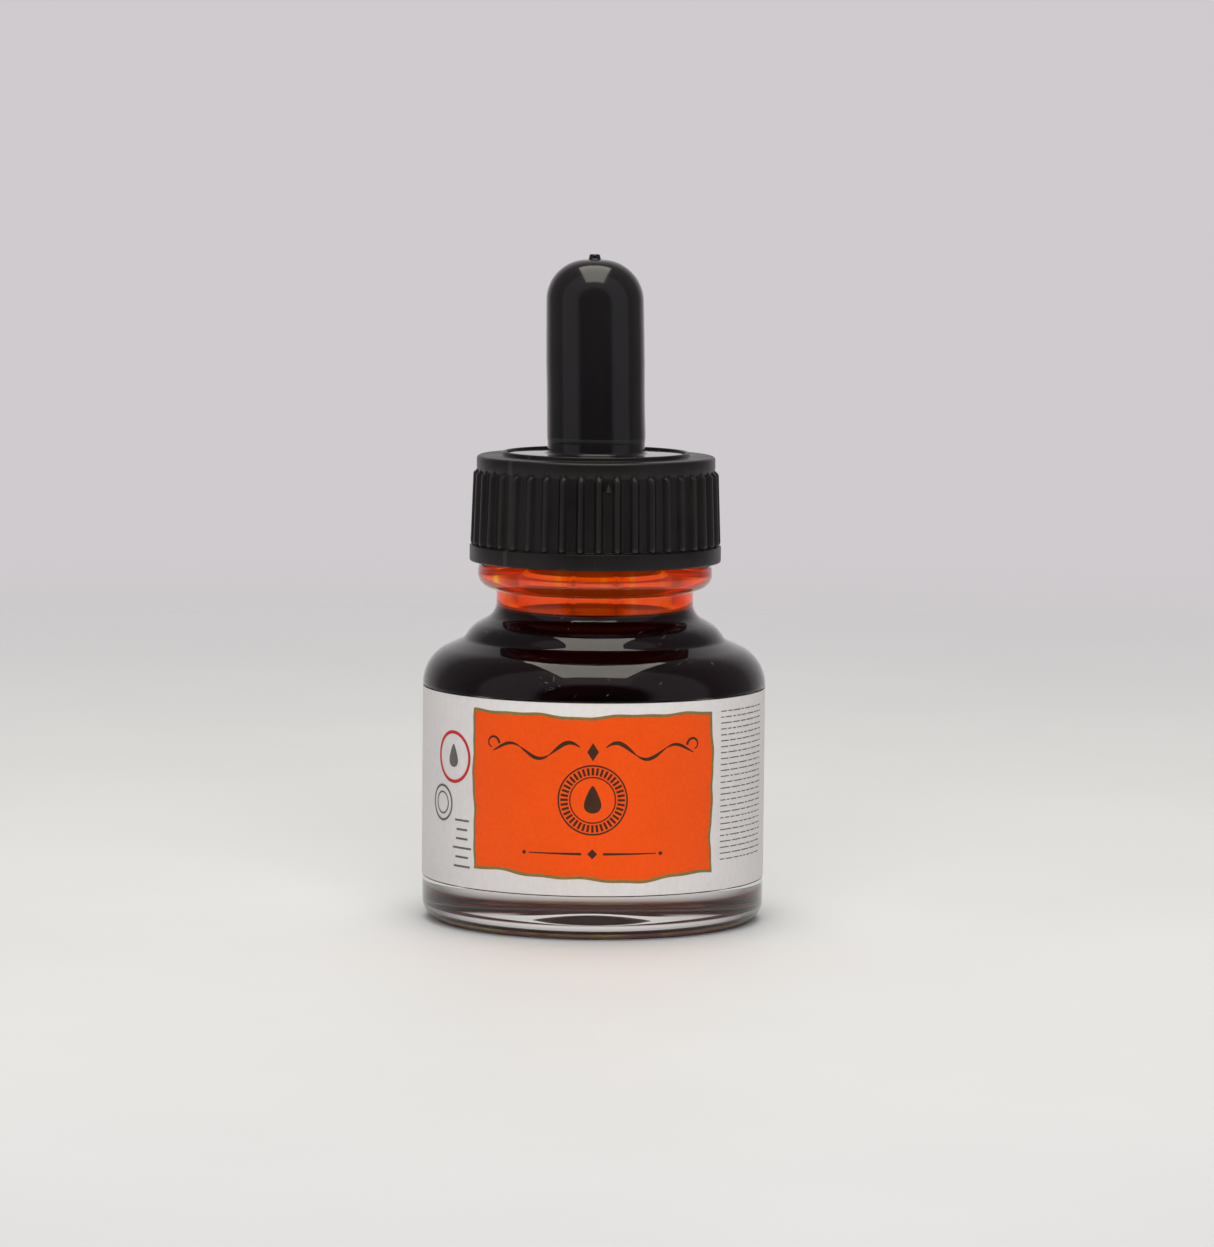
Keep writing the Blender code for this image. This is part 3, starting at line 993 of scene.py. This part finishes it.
def make_floor():
    """Pale floor that thins out to the background far from the bottle."""
    mesh = bmesh.new()
    bmesh.ops.create_circle(mesh, cap_ends=True, segments=96, radius=2.2)
    data = bpy.data.meshes.new("floor")
    mesh.to_mesh(data)
    mesh.free()
    ground = bpy.data.objects.new("floor", data)
    ground.location.z = -0.02 * MM
    scene.collection.objects.link(ground)
    made, tree, shader = new_material("floor_paper", (0.86, 0.87, 0.86), 0.6, Specular_IOR_Level=0.3)
    place = tree.nodes.new("ShaderNodeTexCoord")
    distance = tree.nodes.new("ShaderNodeVectorMath")
    distance.operation = "DISTANCE"
    distance.inputs[1].default_value = (0, 0.05, 0)
    tree.links.new(place.outputs["Object"], distance.inputs[0])
    fade = spread(tree, distance.outputs["Value"], 1.0, 0.0, 0.12, 0.50)
    fade.node.interpolation_type = "SMOOTHSTEP"
    tree.links.new(fade, shader.inputs["Alpha"])
    mottle = noise(tree, 0.01, 5)
    tone = ramp(tree, mottle, (0.3, (0.695, 0.72, 0.73)), (0.7, (0.735, 0.76, 0.77)))
    tree.links.new(tone, shader.inputs["Base Color"])
    data.materials.append(made)


def area_light(name, place, target, size, power, colour):
    """Rectangular light at a place, turned towards its target."""
    data = bpy.data.lights.new(name, "AREA")
    data.shape = "RECTANGLE"
    data.size, data.size_y = size
    data.energy = power
    data.color = colour
    lamp = bpy.data.objects.new(name, data)
    lamp.location = place
    lamp.rotation_euler = (Vector(target) - Vector(place)).to_track_quat("-Z", "Y").to_euler()
    scene.collection.objects.link(lamp)
    return lamp


def make_lights():
    """Softbox overhead, and a wide fill that gives light but isn't seen in gloss or through glass."""
    area_light("overhead_softbox", (0, -0.03, 0.62), (0, -0.03, 0), (0.42, 0.66), 2.4, (1, 0.95, 0.83))
    fill = area_light("front_fill", (0, -1.1, 0.55), (0, 0, 0.03), (1.1, 0.7), 9.3, (1, 1, 1))
    fill.visible_glossy = False
    fill.visible_transmission = False


def make_world():
    """Pale surroundings with a dark room in front of the bottle, behind the camera. Reflections see paler
    panels at the front's sides, and darker sides and back, than rays that go through the glass."""
    world = bpy.data.worlds.new("studio")
    scene.world = world
    world.use_nodes = True
    tree = world.node_tree
    back = tree.nodes["Background"]
    dark_room, backdrop = (0.012, 0.011, 0.013), (0.625, 0.597, 0.617)
    place = tree.nodes.new("ShaderNodeTexCoord")
    parts = tree.nodes.new("ShaderNodeSeparateXYZ")
    tree.links.new(place.outputs["Generated"], parts.inputs["Vector"])
    to_back = spread(tree, parts.outputs["Y"], 0.0, 1.0, -1, 1)
    mirrored = ramp(tree, to_back, (0.09, dark_room), (0.14, (0.32, 0.305, 0.33)),
                    (0.42, (0.34, 0.325, 0.34)), (0.47, (0.13, 0.121, 0.126)),
                    (0.80, (0.18, 0.169, 0.176)), (1.0, (0.72, 0.69, 0.71)))
    seen = ramp(tree, to_back, (0.09, dark_room), (0.14, (0.25, 0.24, 0.25)),
                (0.60, (0.32, 0.295, 0.305)), (0.82, (0.60, 0.57, 0.58)), (0.93, (1.20, 1.16, 1.17)))
    path = tree.nodes.new("ShaderNodeLightPath")
    surround = mix(tree, path.outputs["Is Glossy Ray"], seen, mirrored)
    tree.links.new(mix(tree, path.outputs["Is Camera Ray"], surround, backdrop), back.inputs["Color"])
    back.inputs["Strength"].default_value = 1.0


def make_camera():
    """Camera 0.7 m in front, tipped down a little and rolled by half a degree, as if held in the hand."""
    data = bpy.data.cameras.new("camera")
    data.sensor_width = 36
    data.lens = 165.2
    data.clip_start, data.clip_end = 0.01, 20
    camera = bpy.data.objects.new("camera", data)
    camera.location = (0.00152, -0.700, 0.1036)
    dip, roll = 0.0958, 0.0093
    turn = Matrix.Rotation(pi / 2 - dip, 4, "X") @ Matrix.Rotation(roll, 4, "Z")
    camera.rotation_euler = turn.to_euler()
    scene.collection.objects.link(camera)
    scene.camera = camera


make_camera()
clear_glass = glass_material("bottle_glass", (0.97, 0.985, 0.975))
tube_glass = glass_material("pipette_glass", (0.98, 0.99, 0.985))
dark_ink = ink_material()
make_bottle(clear_glass)
make_marks(marks_material())
make_ink(dark_ink, level_material())
make_film(film_material())
make_label(paper_material(), glue_material())
make_panel(print_material("panel_orange", (0.90, 0.090, 0.004), (0.84, 0.078, 0.003)),
           print_material("border_gold", (0.26, 0.19, 0.055), (0.20, 0.14, 0.04), 0.35))
black_print = print_material("print_black", (0.06, 0.028, 0.014), (0.035, 0.018, 0.010))
make_ornaments(black_print)
make_side_print(print_material("print_grey", (0.16, 0.145, 0.145), (0.10, 0.09, 0.09)),
                print_material("print_red", (0.58, 0.03, 0.03), (0.52, 0.025, 0.025)))
make_cap(cap_material())
make_teat(rubber_material())
make_pipette(tube_glass)
make_pipette_ink(dark_ink)
make_floor()
make_lights()
make_world()
scene.view_settings.view_transform = "Standard"
